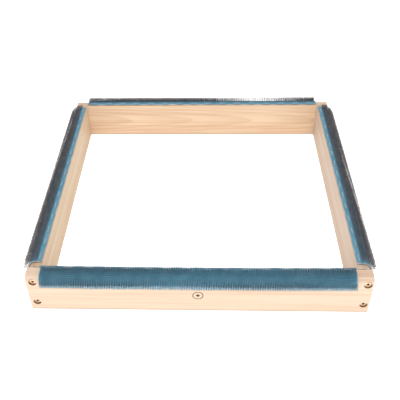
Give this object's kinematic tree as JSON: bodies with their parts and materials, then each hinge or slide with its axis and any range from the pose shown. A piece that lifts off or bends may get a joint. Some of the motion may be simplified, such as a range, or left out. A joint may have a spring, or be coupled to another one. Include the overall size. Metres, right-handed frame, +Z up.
{
  "type": "gripper strip loom frame",
  "caption": "Flat rectangular hand loom frame of four upright boards; wire-pin grip strips wrap the outer top edges to hold a stretched foundation cloth.",
  "frame": {"origin": "middle of the frame's box, on the surface that the boards stand on", "axes": "+X along the front board to its right-hand end, +Y from the marked front board to the back board, +Z up"},
  "size_m": [0.45, 0.436, 0.069],
  "materials": {
    "wood": "satin",
    "backing_cloth": "matte",
    "rubber_face": "matte",
    "pin_bed": "satin",
    "steel_wire": "satin",
    "yellow_zinc": "satin"
  },
  "bodies": {
    "root": {"front_board": "wood", "back_board": "wood", "left_board": "wood", "right_board": "wood", "front_strip_backing": "backing_cloth", "back_strip_backing": "backing_cloth", "left_strip_backing": "backing_cloth", "right_strip_backing": "backing_cloth", "front_strip_rubber": "rubber_face", "back_strip_rubber": "rubber_face", "left_strip_rubber": "rubber_face", "right_strip_rubber": "rubber_face", "front_strip_pins": "pin_bed", "back_strip_pins": "pin_bed", "left_strip_pins": "pin_bed", "right_strip_pins": "pin_bed", "front_inner_staples": "steel_wire", "back_inner_staples": "steel_wire", "left_inner_staples": "steel_wire", "right_inner_staples": "steel_wire", "front_outer_staples": "steel_wire", "back_outer_staples": "steel_wire", "left_outer_staples": "steel_wire", "right_outer_staples": "steel_wire", "front_left_low_screw": "yellow_zinc", "front_left_high_screw": "yellow_zinc", "front_right_low_screw": "yellow_zinc", "front_right_high_screw": "yellow_zinc", "back_left_low_screw": "yellow_zinc", "back_left_high_screw": "yellow_zinc", "back_right_low_screw": "yellow_zinc", "back_right_high_screw": "yellow_zinc"}
  },
  "joints": []
}
